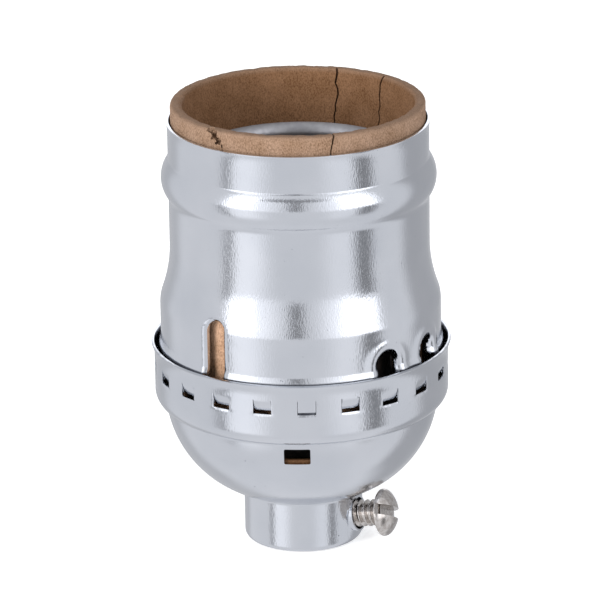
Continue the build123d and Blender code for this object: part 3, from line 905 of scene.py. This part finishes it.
@dataclass
class Cap:
    """The drawn cap: neck, bowl, step and windowed ring, and the small collar of the set screw."""

    material: bpy.types.Material
    sheet: float = 0.35
    mouth_radius: float = 5.4
    neck_radius: float = 7.45
    neck_height: float = 6.6
    neck_corner: float = 0.8
    bowl_radius: float = 13.6
    ring_radius: float = 18.402
    step_width: float = 1.35
    step_z: float = 18.2
    lip_z: float = 26.2
    lip_flare: float = 0.35
    lip_height: float = 1.6
    row: float = 0.15
    window: Point = (2.3, 1.8)
    window_z: float = 23.4
    window_count: int = 21
    first_window: float = 1.7
    peephole: Point = (3.25, 2.15)
    peephole_z: float = 16.45
    peephole_azimuth: float = -2.4
    corner: float = 0.2
    slit: Point = (0.06, 0.34)
    push: float = 0.52
    tooth_push: float = 0.06
    shoulder: Point = (0.1, 0.42)
    steps: int = 320

    def outline(self) -> list[Point]:
        """The cap's outer face in section, from the neck's mouth to the ring's lip.

        Returns:
            Its points, as radius and height.
        """
        foot, top = (self.neck_radius, 0.0), (self.neck_radius, self.neck_height)
        step = (self.ring_radius - self.step_width, self.step_z)
        half = math.dist(top, step) / 2
        rise = math.sqrt(self.bowl_radius**2 - half**2) / (2 * half)
        middle = ((top[0] + step[0]) / 2, (top[1] + step[1]) / 2)
        centre = (middle[0] - (step[1] - top[1]) * rise, middle[1] + (step[0] - top[0]) * rise)
        first, last = (math.degrees(math.atan2(p[1] - centre[1], p[0] - centre[0])) for p in (top, step))
        tread, wall = (step[0] + 0.3, step[1] + 0.1), (self.ring_radius, self.step_z + 1.8)
        corner = arc_from(wall, -90, tread, 12)[::-1]
        rim = (self.ring_radius + self.lip_flare, self.lip_z)
        lip = arc_from((self.ring_radius, self.lip_z - self.lip_height), 90, rim, 8)
        bowl = arc(centre, self.bowl_radius, first, last, 44)
        points = [(self.mouth_radius, 0.0), foot, *bowl, *corner, *lip]
        points = softened(points, foot, self.neck_corner, 8)
        points = softened(points, top, 0.35)
        points = softened(points, step, 0.18, 4)
        width, height = self.window
        return divided(points, self.row, self.window_z - height / 2 - 0.6, self.window_z + height / 2 + 0.2)

    def press_windows(self, piece: Piece) -> None:
        """Pushes the lanced tab in each window inwards and rounds the sheet in below it.

        Args:
            piece: the cap.
        """
        width, height = self.window
        low, high = self.window_z - height / 2, self.window_z + height / 2
        pitch = 360 / self.window_count
        depth, reach = self.shoulder
        for vertex in piece.data.vertices:
            z = vertex.co.z
            radius, azimuth = polar(vertex)
            if radius < self.ring_radius - 0.6 or not low - reach < z < high:
                continue
            place = (azimuth - self.first_window) / pitch
            across = abs(math.radians((place - round(place)) * pitch) * radius)
            shift = 0.0
            if z > low + 0.05 and across < width / 2 - self.slit[0] / 2:
                tooth = round(place) % (self.window_count // 3) == 0
                share = (high - z) / (height - self.slit[1])
                shift = (self.tooth_push if tooth else self.push) * share**1.5
            elif z <= low + 0.05:
                side = max(0.0, across - width / 2 + 0.1)
                near = max(0.0, 1 - math.hypot(max(0.0, low - z), side) / reach)
                shift = depth * near**2
            slide_out(vertex, -shift)

    def build(self) -> Piece:
        """Builds and dresses the cap.

        Returns:
            The finished piece.
        """
        piece = spun("cap_shell", self.outline(), self.steps)
        modified(piece, "SOLIDIFY", thickness=self.sheet, offset=-1, use_even_offset=True)
        width, height = self.window
        side, foot = self.slit
        low = self.window_z - height / 2
        blades = [block((width, 3, foot), (0, -self.ring_radius, low + foot / 2))]
        for x in (-width / 2 + side / 2, width / 2 - side / 2):
            blades.append(block((side, 2.8, height), (x, -self.ring_radius, self.window_z + 0.01)))
        combined(blades[0], blades[1], "UNION")
        combined(blades[0], blades[2], "UNION")
        spread = [self.first_window + i * 360 / self.window_count for i in range(self.window_count)]
        combined(piece, joined(copies(blades[0], spread)))
        width, height = self.peephole
        hole = block((width, 6, height), (0, -self.ring_radius + 1, self.peephole_z), self.corner)
        combined(piece, turned(hole, self.peephole_azimuth))
        SetScrew.add_collar(piece, self.neck_radius, self.sheet)
        self.press_windows(piece)
        eased(piece, 0.05, 2, 50)
        return finished(piece, Body.HOLDER, self.material, ["cap"])


@dataclass
class Casing:
    """The drawn casing: skirt, bulge, shoulder, bead and collar, with slots, rimmed arches and teeth."""

    material: bpy.types.Material
    sheet: float = 0.35
    foot_z: float = 23.2
    top_z: float = 54.76
    skirt_radius: float = 17.852
    skirt_height: float = 2.6
    flare: float = 0.32
    flare_turn: float = 25.0
    bulge_top: float = 8.1
    collar_radius: float = 16.175
    shoulder_turn: float = 20.0
    shoulder_bends: Point = (4.7, 17.8)
    bead_bends: Point = (0.62, 0.16)
    mouth_flare: Point = (0.16, 1.3)
    row: float = 0.26
    bead_height: float = 4.8
    bead_stand: float = 0.9
    bead_below_top: float = 4.76
    slot: Point = (2.65, 9.9)
    slot_azimuths: tuple[float, ...] = (-37.6, 142.4)
    arch: Point = (2.5, 5.45)
    arch_azimuths: tuple[float, ...] = (37.5, 62.5)
    rim_stand: float = 0.17
    rim_width: float = 0.55
    rim_reach: float = 1.3
    roll: float = 0.85
    roll_reach: float = 0.8
    burr: float = 0.3
    slot_roll: float = 0.5
    slot_reach: float = 0.5
    tooth_azimuths: tuple[float, ...] = (1.7, 121.7, 241.7)
    steps: int = 320

    def outline(self) -> list[Point]:
        """The casing's outer face in section, from the skirt's edge up to the mouth.

        Returns:
            Its points, as radius and height.
        """
        points = [(self.skirt_radius, self.foot_z)]
        flare = self.flare / 2 / (1 - math.cos(math.radians(self.flare_turn)))
        points += bend((self.skirt_radius, self.foot_z + self.skirt_height), 90, flare, self.flare_turn, 7)
        points += bend(points[-1], 90 + self.flare_turn, flare, -self.flare_turn, 7)[1:]
        bulge = (points[-1][0], self.foot_z + self.bulge_top)
        outer, inner = self.shoulder_bends
        points += bend(bulge, 90, outer, self.shoulder_turn, 10)
        points += bend(points[-1], 90 + self.shoulder_turn, inner, -self.shoulder_turn, 20)[1:]
        high = self.top_z - self.bead_below_top
        low = high - self.bead_height
        crest = (self.collar_radius + self.bead_stand, (low + high) / 2)
        points += arc_through((self.collar_radius, low), crest, (self.collar_radius, high), 36)
        out, rise = self.mouth_flare
        mouth = (self.collar_radius + out, self.top_z)
        points += arc_from((self.collar_radius, self.top_z - rise), 90, mouth, 6)
        points = softened(points, (self.collar_radius, low), self.bead_bends[0], 8)
        points = softened(points, (self.collar_radius, high), self.bead_bends[1], 4)
        return divided(points, self.row, self.foot_z, self.foot_z + self.slot[1] + 1)

    def raise_rims(self, piece: Piece) -> None:
        """Presses a soft rim round each arch and rolls the sheet in at the edges of the arches and the slots.

        Args:
            piece: the casing.
        """
        edges = [(place, self.arch, self.rim_stand, self.roll, self.roll_reach) for place in self.arch_azimuths]
        edges += [(place, self.slot, 0.0, self.slot_roll, self.slot_reach) for place in self.slot_azimuths]
        for vertex in piece.data.vertices:
            x, y, z = vertex.co
            radius, azimuth = polar(vertex)
            ragged = self.burr * noise.noise(Vector((x * 2.6, y * 2.6, z * 1.1)))
            lift = 0.0
            for place, (width, height), stand, roll, roll_reach in edges:
                spring = self.foot_z + height - width / 2
                across = math.radians(wrapped(azimuth - place)) * radius
                reach = math.hypot(across, max(0.0, z - spring)) - width / 2
                lift += stand * math.exp(-(((reach - self.rim_reach) / self.rim_width) ** 2))
                lift -= max(0.0, 1 - max(0.0, reach) / roll_reach) ** 2 * (roll + (ragged if stand else 0.0))
            slide_out(vertex, lift)

    def build(self) -> Piece:
        """Builds and dresses the casing.

        Returns:
            The finished piece.
        """
        piece = spun("casing_shell", self.outline(), self.steps)
        self.raise_rims(piece)
        modified(piece, "SOLIDIFY", thickness=self.sheet, offset=-1, use_even_offset=True)
        low, near, far = self.foot_z - 1, self.collar_radius - 0.3, self.skirt_radius + 2
        slot = arch(self.slot[0], low, self.foot_z + self.slot[1], near, far)
        combined(piece, joined(copies(slot, self.slot_azimuths)))
        opening = arch(self.arch[0], low, self.foot_z + self.arch[1], near - 1, far)
        combined(piece, joined(copies(opening, self.arch_azimuths)))
        tooth = block((2.2, 0.42, 2.3), (0, -self.skirt_radius + 0.09, self.foot_z + 0.42), 0.12)
        combined(piece, joined(copies(tooth, self.tooth_azimuths)), "UNION")
        eased(piece, 0.05, 2, 50)
        return finished(piece, Body.CASING, self.material, ["outer_shell"])


@dataclass
class FibreTube:
    """The rolled fibre tube in the casing: proud of its mouth, ragged, cracked and torn at its rim."""

    material: bpy.types.Material
    radius: float = 15.775
    wall: float = 1.3
    foot_z: float = 21.5
    top_z: float = 57.1
    notch: Point = (12.0, 10.5)
    notch_azimuth: float = 50.0
    seam_azimuth: float = -101.0
    seam_step: float = 0.24
    steps: int = 360
    crack_azimuths: tuple[float, ...] = (165.6, 136.9)
    slit_azimuth: float = 15.2
    pits: tuple[tuple[float, float, float], ...] = (
        (-40.3, 56.3, 0.62),
        (-37.6, 55.8, 0.50),
        (-42.6, 56.9, 0.50),
        (-36.2, 55.2, 0.36),
        (-39.4, 55.4, 0.34),
    )
    chance: random.Random = field(default_factory=lambda: random.Random(7))

    def outline(self) -> list[Point]:
        """The tube's closed section.

        Returns:
            Its points, as radius and height.
        """
        inner = self.radius - self.wall
        points = [(inner, self.foot_z), (self.radius, self.foot_z), (self.radius, self.top_z)]
        points += [(inner, self.top_z), (inner, self.foot_z)]
        points = softened(points, (self.radius, self.top_z), 0.48)
        points = softened(points, (inner, self.top_z), 0.38)
        return divided(points, 0.5, 49.0, self.top_z + 1)

    def wear(self, piece: Piece) -> None:
        """Makes the rim ragged and steps the inner face at the tube's rolled seam.

        Args:
            piece: the tube.
        """
        inner = self.radius - self.wall
        for vertex in piece.data.vertices:
            x, y, z = vertex.co
            radius, azimuth = polar(vertex)
            near_rim = max(0.0, min(1.0, (z - 53.5) / 3.2))
            rough = noise.noise(Vector((x * 0.9, y * 0.9, z * 0.9)))
            fine = noise.noise(Vector((x * 3.1, y * 3.1, z * 3.1)))
            shift = near_rim * (0.05 * rough + 0.035 * fine) - 0.02
            if abs(radius - inner) < 0.35:
                past = (azimuth - self.seam_azimuth) % 360
                shift -= self.seam_step * max(0.0, 1 - past / 50) * near_rim
            factor = min(self.radius, radius + shift) / radius
            drop = near_rim**4 * (0.03 + 0.12 * rough + 0.07 * fine)
            vertex.co = Vector((x * factor, y * factor, z - max(0.0, drop)))

    def crack(
        self, azimuth: float, low: float, middle: float, depth: float, width: float, lean: float, waver: float
    ) -> Piece:
        """A thin wavering blade that cuts a crack into the wall.

        Args:
            azimuth: where the crack is.
            low: how low it reaches.
            middle: the radius that it is centred on.
            depth: its depth in the wall.
            width: its width at the rim.
            lean: how far it leans sideways over its height.
            waver: how far it may drift sideways from row to row.

        Returns:
            The blade.
        """
        height = self.top_z + 1 - low
        piece = block((width, depth, height), (0, -middle, low + height / 2))
        rows = 18
        with editing(piece) as mesh:
            for i in range(1, rows):
                bpy.ops.mesh.select_all(action="SELECT")
                bpy.ops.mesh.bisect(plane_co=(0, 0, low + height * i / rows), plane_no=(0, 0, 1))
        drift = [0.0]
        for _ in range(rows):
            drift.append(drift[-1] + self.chance.uniform(-waver, waver))
        for vertex in piece.data.vertices:
            share = (vertex.co.z - low) / height
            narrow = 0.35 + 0.65 * share
            vertex.co.x = vertex.co.x * narrow + drift[round(share * rows)] + lean * (share - 0.5)
        return turned(piece, azimuth)

    def pit(self, azimuth: float, height: float, size: float) -> Piece:
        """A ragged ball that tears a pit into the rim's outer edge.

        Args:
            azimuth: where the pit is.
            height: how high it is.
            size: its radius.

        Returns:
            The ball.
        """
        middle = Vector((0, -self.radius + 0.35, height))
        piece = added(bpy.ops.mesh.primitive_ico_sphere_add, subdivisions=4, radius=size, location=middle)
        for vertex in piece.data.vertices:
            away = vertex.co - middle
            vertex.co = middle + away * (1 + 0.55 * noise.noise(vertex.co * 2.3))
        return turned(piece, azimuth)

    def build(self) -> Piece:
        """Builds and dresses the tube.

        Returns:
            The finished piece.
        """
        piece = spun("fibre_tube", self.outline(), self.steps)
        self.wear(piece)
        width, height = self.notch
        notch = arch(width, self.foot_z - 2, self.foot_z + height, 6, self.radius + 3)
        combined(piece, turned(notch, self.notch_azimuth))
        inner = self.radius - self.wall
        for azimuth, lean, width in zip(self.crack_azimuths, (1.6, -0.6), (0.3, 0.26)):
            combined(piece, self.crack(azimuth, 45.0, inner, 1.0, width, lean, 0.34))
        slit_z, slit_radius = self.top_z - 2.6, self.radius - 0.4
        combined(piece, self.crack(self.slit_azimuth, slit_z, slit_radius, 2.4, 0.34, 0.7, 0.06))
        for azimuth, height, size in self.pits:
            combined(piece, self.pit(azimuth, height, size))
        return finished(piece, Body.CASING, self.material, ["insulating_liner"], crease=50.0)


@dataclass
class SetScrew:
    """The slotted set screw in the neck, with its rolled thread."""

    material: bpy.types.Material
    radius: float = 1.7
    clearance: float = 0.33
    root: float = 1.28
    pitch: float = 0.794
    length: float = 5.1
    tip_from_axis: float = 5.9
    head_radius: float = 3.0
    head_height: float = 1.8
    head_rim: float = 0.4
    slot_width: float = 1.3
    slot_depth: float = 1.65
    slot_turn: float = -29.0
    azimuth: float = 66.0
    tilt: float = 10.0
    height: float = 3.55
    neck_radius: float = 7.45
    hole: Point = (-3.2, 6.4)

    @classmethod
    def seat(cls, along: float = 0.0) -> Matrix:
        """The screw's frame: its origin on the neck's face, +Z outwards.

        Args:
            along: how far it is moved along its axis.

        Returns:
            The frame.
        """
        turn = Matrix.Rotation(math.radians(cls.azimuth), 4, "Z")
        place = Matrix.Translation((0, -cls.neck_radius, cls.height))
        tip = Matrix.Rotation(math.radians(90 - cls.tilt), 4, "X")
        return turn @ place @ tip @ Matrix.Translation((0, 0, along))

    @classmethod
    def drill_hole(cls, piece: Piece) -> None:
        """Cuts the screw's clear hole through a piece."""
        combined(piece, seated(drill(cls.radius + cls.clearance, *cls.hole), cls.seat()))

    @classmethod
    def add_collar(cls, neck: Piece, radius: float, sheet: float) -> None:
        """Adds the collar drawn out of the neck, and its hole, to the cap.

        Args:
            neck: the cap.
            radius: the neck's radius.
            sheet: the sheet's thickness.
        """
        collar = drill(cls.radius + cls.clearance + 0.22, -radius / 2, 0.2)
        with editing(collar) as mesh:
            for vertex in mesh.verts:
                vertex.select_set(vertex.co.z > 0)
            bpy.ops.mesh.select_mode(type="EDGE")
            bpy.ops.mesh.bevel(offset=0.1, segments=4, affect="EDGES")
        seated(collar, cls.seat())
        combined(collar, drill(radius - sheet, -2, 20, 192))
        combined(neck, collar, "UNION")
        cls.drill_hole(neck)

    def build(self) -> Piece:
        """Builds and dresses the screw.

        Returns:
            The finished piece.
        """
        dome_height = self.head_height - self.head_rim
        ball = (self.head_radius**2 + dome_height**2) / (2 * dome_height)
        centre_z = self.head_height - ball
        rim_angle = math.degrees(math.asin((self.head_rim - centre_z) / ball))
        dome = arc((0.0, centre_z), ball, rim_angle, 90, 16)
        outline = [(0.0, 0.0), (self.head_radius, 0.0), *dome]
        outline = softened(outline, (self.head_radius, 0.0), 0.12, 3)
        outline = softened(outline, (self.head_radius, self.head_rim), 0.3, 5)
        piece = spun("set_screw_threaded", outline, 96)
        slot = block((8, self.slot_width, 2 * self.slot_depth), (0, 0, self.head_height))
        slot.rotation_euler.z = math.radians(self.slot_turn)
        settle(slot)
        combined(piece, slot)
        eased(piece, 0.09, 3, 45)
        bar = threaded_bar("shank", self.root, self.radius, self.pitch, self.length + 0.3, 0.12)
        bar.location.z = -self.length
        settle(bar)
        combined(piece, bar, "UNION")
        tip = -(self.neck_radius - self.tip_from_axis) / math.cos(math.radians(self.tilt))
        seated(piece, self.seat(tip + self.length))
        return finished(piece, Body.SET_SCREW, self.material, ["set_screw"], crease=30.0)


@dataclass
class Bushing:
    """The threaded bushing in the neck, with the pipe thread in its bore."""

    material: bpy.types.Material
    outer: float = 7.05
    bore: float = 4.62
    thread_radius: float = 5.1
    pitch: float = 0.941
    low: float = 0.4
    high: float = 5.6
    chamfer: float = 0.3

    def build(self) -> Piece:
        """Builds and dresses the bushing.

        Returns:
            The finished piece.
        """
        edge = self.chamfer
        lower = [(self.bore, edge), (self.bore + edge, 0), (self.outer - edge, 0), (self.outer, edge)]
        outline = [(r, self.low + z) for r, z in lower] + [(r, self.high - z) for r, z in reversed(lower)]
        outline.append(outline[0])
        piece = spun("bushing_threaded", outline, 128)
        bar = threaded_bar("pipe_thread", self.bore - 0.02, self.thread_radius, self.pitch, self.high + 1, 0.1)
        combined(piece, bar)
        SetScrew.drill_hole(piece)
        return finished(piece, Body.HOLDER, self.material, ["neck_bushing"], crease=30.0)


@dataclass
class Contacts:
    """The CAD nodes that keep their shape and get their finishes here."""

    shade_darkened_fibre: bpy.types.Material
    phenolic: bpy.types.Material
    brass: bpy.types.Material
    nickel: bpy.types.Material
    rolled: bpy.types.Material

    def dress(self) -> None:
        """Gives each kept node its material."""
        plates = ("neutral_terminal_plate", "hot_terminal_plate", "centre_contact")
        finishes = (
            # painted shade: the cap liner gets the darkened fibre, standing for the shade inside the cap behind
            # the peephole
            (self.shade_darkened_fibre, ("cap_liner",)),
            (self.phenolic, ("socket_body",)),
            (self.brass, (*plates, "contact_rivet", "hot_terminal_screw")),
            (self.nickel, ("neutral_terminal_screw",)),
            # the screw shell's darkened grey is partly painted shade
            (self.rolled, ("screw_shell", "neutral_rivet", "shell_rivet_1", "shell_rivet_2")),
        )
        for material, names in finishes:
            for name in names:
                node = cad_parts[name]
                node.data.materials.clear()
                node.data.materials.append(material)
                LOG.info("%s keeps its CAD shape", name)


# ---------------------------------------------------------------- the studio


@dataclass(frozen=True)
class Panel:
    """A soft-edged patch of the studio that the metal mirrors, between two azimuths and two heights.

    All are in degrees.

    Its four soft widths belong to its start, its end, its low edge and its high edge.
    """

    start: float
    end: float
    low: float
    high: float
    level: float
    soft: tuple[float, float, float, float] = (4.0, 4.0, 5.0, 5.0)


@dataclass
class Studio:
    """The floor, the light, the surroundings that the metal mirrors, and the camera."""

    white: str = "#FFFFFF"
    cool: Colour = (0.985, 1.0, 1.05, 1.0)
    room: float = 0.80
    glow: float = 0.46
    floor_lift: float = 0.45
    distance: float = 580.0
    elevation: float = 19.06
    aim_height: float = 31.05
    focal_pixels: float = 4644.0
    image_pixels: float = 600.0
    roll: float = -0.848
    shift_pixels: float = 0.62
    panels: tuple[Panel, ...] = (
        Panel(104, 200, -90, 90, 0.485, (14, 14, 5, 5)),
        Panel(-200, -134, -90, 90, 0.59, (14, 16, 5, 5)),
        Panel(162, 198, 0, 50, 1.6, (14, 14, 5, 12)),
        Panel(-61, -32, -34, 90, 1.16, (8, 24, 24, 5)),
        Panel(24, 50, -34, 90, 0.97, (20, 6, 24, 5)),
        Panel(-64, -24, -4, 48, 1.36, (4, 36, 4, 14)),
        Panel(22, 66, -4, 46, 1.36, (32, 4, 5, 16)),
        Panel(-63, -40, -4, 44, 2.0, (3, 6, 5, 16)),
        Panel(36, 66, -4, 46, 2.0, (6, 4, 5, 16)),
        Panel(-8.5, 1.5, -1, 46, 0.26, (2.5, 3.5, 3, 6)),
        Panel(51, 66, -30, -4, 0.26, (8, 5, 16, 5)),
        Panel(-69.5, -62.5, -34, -2, 0.36, (3, 4, 12, 4)),
        Panel(-181, 181, -91, -56, 0.825, (0.1, 0.1, 1, 16)),
        Panel(-32, 22, 34, 44, 0.30, (14, 30, 4, 4)),
    )

    def surroundings(self) -> None:
        """Builds the world: white to the camera, an even glow to matt things, and panels to the metal."""
        world = bpy.data.worlds.new("studio")
        bpy.context.scene.world = world
        world.use_nodes = True
        tree = world.node_tree
        tree.nodes.clear()
        direction = add(tree, "ShaderNodeTexCoord").outputs["Generated"]
        axes = add(tree, "ShaderNodeSeparateXYZ", {0: direction})
        front = add(tree, "ShaderNodeMath", {0: axes.outputs["Y"], 1: -1.0}, operation="MULTIPLY")
        azimuth = add(tree, "ShaderNodeMath", {0: axes.outputs["X"], 1: front.outputs[0]}, operation="ARCTAN2")
        height = add(tree, "ShaderNodeMath", {0: axes.outputs["Z"]}, operation="ARCSINE")
        level = add(tree, "ShaderNodeValue").outputs[0]
        level.default_value = self.room
        for panel in self.panels:
            level = self.with_panel(tree, level, azimuth.outputs[0], height.outputs[0], panel)
        path = add(tree, "ShaderNodeLightPath")
        glossy = path.outputs["Is Glossy Ray"]
        mirrored = add(tree, "ShaderNodeMix", {0: glossy, 2: self.glow, 3: level})
        seen = add(tree, "ShaderNodeMix", {0: path.outputs["Is Camera Ray"], 2: mirrored.outputs[0], 3: 1.0})
        tint = add(tree, "ShaderNodeMix", {0: glossy, 6: linear(self.white), 7: self.cool}, data_type="RGBA")
        light = add(tree, "ShaderNodeBackground", {"Color": tint.outputs[2], "Strength": seen.outputs[0]})
        add(tree, "ShaderNodeOutputWorld", {"Surface": light.outputs[0]})

    @staticmethod
    def with_panel(
        tree: Tree, level: Socket, azimuth: Socket, height: Socket, panel: Panel
    ) -> Socket:
        """Lays one panel over the surroundings.

        Args:
            tree: the world's tree.
            level: the brightness so far.
            azimuth: the direction's azimuth in radians.
            height: the direction's height in radians.
            panel: the panel.

        Returns:
            The brightness with the panel.
        """
        middle, half = (panel.start + panel.end) / 2, (panel.end - panel.start) / 2
        away = add(tree, "ShaderNodeMath", {0: azimuth, 1: math.radians(middle)}, operation="SUBTRACT")
        turn = {0: away.outputs[0], 1: math.pi, 2: -math.pi}
        side = add(tree, "ShaderNodeMath", turn, operation="WRAP").outputs[0]
        edges = ((side, -half, 1), (side, half, -1), (height, panel.low, 1), (height, panel.high, -1))
        share = None
        for (value, place, inwards), soft in zip(edges, panel.soft):
            limits = [math.radians(place - inwards * soft / 2), math.radians(place + inwards * soft / 2)]
            edge = add(
                tree, "ShaderNodeMapRange", {"Value": value, "From Min": limits[0], "From Max": limits[1]},
                interpolation_type="SMOOTHSTEP",
            ).outputs[0]
            if share is not None:
                edge = add(tree, "ShaderNodeMath", {0: share, 1: edge}, operation="MULTIPLY").outputs[0]
            share = edge
        return add(tree, "ShaderNodeMix", {0: share, 2: level, 3: panel.level}).outputs[0]

    def floor(self) -> None:
        """Builds the pale floor: white with the holder's shadow, and clear in the metal's reflections."""
        only()
        bpy.ops.mesh.primitive_plane_add(size=8, location=(0, 0, -0.0002))
        plane = bpy.context.object
        plane.name = "floor"
        material = bpy.data.materials.new("pale_floor")
        material.use_nodes = True
        tree = material.node_tree
        tree.nodes.clear()
        paper = add(tree, "ShaderNodeBsdfDiffuse", {"Color": linear(self.white)})
        lift = add(tree, "ShaderNodeEmission", {"Color": linear(self.white), "Strength": self.floor_lift})
        lit = add(tree, "ShaderNodeAddShader", {0: paper.outputs[0], 1: lift.outputs[0]})
        path = add(tree, "ShaderNodeLightPath")
        clear = add(tree, "ShaderNodeBsdfTransparent")
        shown = {0: path.outputs["Is Glossy Ray"], 1: lit.outputs[0], 2: clear.outputs[0]}
        mixed = add(tree, "ShaderNodeMixShader", shown)
        add(tree, "ShaderNodeOutputMaterial", {"Surface": mixed.outputs[0]})
        plane.data.materials.append(material)

    def lamp(self, name: str, place: Sequence[float], size: float, power: float) -> None:
        """Adds a soft square lamp aimed at the holder's middle.

        Args:
            name: the lamp's name.
            place: where it stands, in metres.
            size: its width in metres.
            power: its power in watts.
        """
        light = bpy.data.lights.new(name, "AREA")
        light.size, light.energy = size, power
        lamp = bpy.data.objects.new(name, light)
        lamp.location = place
        aim = Vector((0, 0, self.aim_height * MM)) - Vector(place)
        lamp.rotation_euler = aim.to_track_quat("-Z", "Y").to_euler()
        lamp.visible_glossy = False
        bpy.context.scene.collection.objects.link(lamp)

    def camera(self) -> None:
        """Sets the camera where the photograph was taken from."""
        rise = math.radians(self.elevation)
        back = Vector((0, -math.cos(rise), math.sin(rise)))
        data = bpy.data.cameras.new("camera")
        data.sensor_width = 36.0
        data.lens = self.focal_pixels / self.image_pixels * data.sensor_width
        data.shift_x = -self.shift_pixels / self.image_pixels
        data.clip_start, data.clip_end = 0.05, 20.0
        camera = bpy.data.objects.new("camera", data)
        camera.location = Vector((0, 0, self.aim_height * MM)) + back * self.distance * MM
        turn = (-back).to_track_quat("-Z", "Y").to_matrix().to_4x4()
        camera.rotation_euler = (turn @ Matrix.Rotation(math.radians(self.roll), 4, "Z")).to_euler()
        bpy.context.scene.collection.objects.link(camera)
        bpy.context.scene.camera = camera

    def build(self) -> None:
        """Builds the studio."""
        self.camera()
        self.surroundings()
        self.floor()
        self.lamp("key_lamp", (-0.80, -0.70, 0.36), 0.5, 11.5)
        self.lamp("fill_lamp", (0.55, -0.65, 0.35), 0.5, 4.5)
        bpy.context.scene.view_settings.view_transform = "Standard"


def main() -> None:
    """Builds the studio and the holder's pieces in order."""
    logging.basicConfig(level=logging.INFO, format="%(message)s")
    Studio().build()
    sheet = DrawnSheet().made()
    fibre = FibrePaper().made()
    nickel = PlatedMetal("nickel_plated_steel", "#D3CEC9", "#BDB6B0", 0.17, 0.45, 0.012).made()
    zinc = PlatedMetal("zinc_plated_steel", "#A9ABAD", "#8F9194", 0.38).made()
    brass = PlatedMetal("stamped_brass", "#C9A45C", "#AE8A48", 0.26).made()
    # partly painted shade: a dull rolled grey for the screw shell and rivets, kept darker to stand for the
    # shade inside the tube
    rolled = PlatedMetal("rolled_aluminium_darkened_as_shade", "#A09FA1", "#98979A", 0.36, 0.6, 0.0003).made()
    Cap(sheet).build()
    # the casing's sheet carries painted shade below the ring's lip
    Casing(DrawnSheet("bright_aluminium_with_painted_shade", painted_shade_z=26.3).made()).build()
    FibreTube(fibre).build()
    SetScrew(nickel).build()
    Bushing(zinc).build()
    # painted shade: a much darker fibre for the cap liner, in place of the shade inside the cap
    shade_darkened_fibre = FibrePaper("fibre_darkened_as_shade", "#64472F", "#4A3224", "#2E1D13", "#64472F").made()
    Contacts(shade_darkened_fibre, Phenolic().made(), brass, nickel, rolled).dress()


if __name__ == "__main__":
    main()
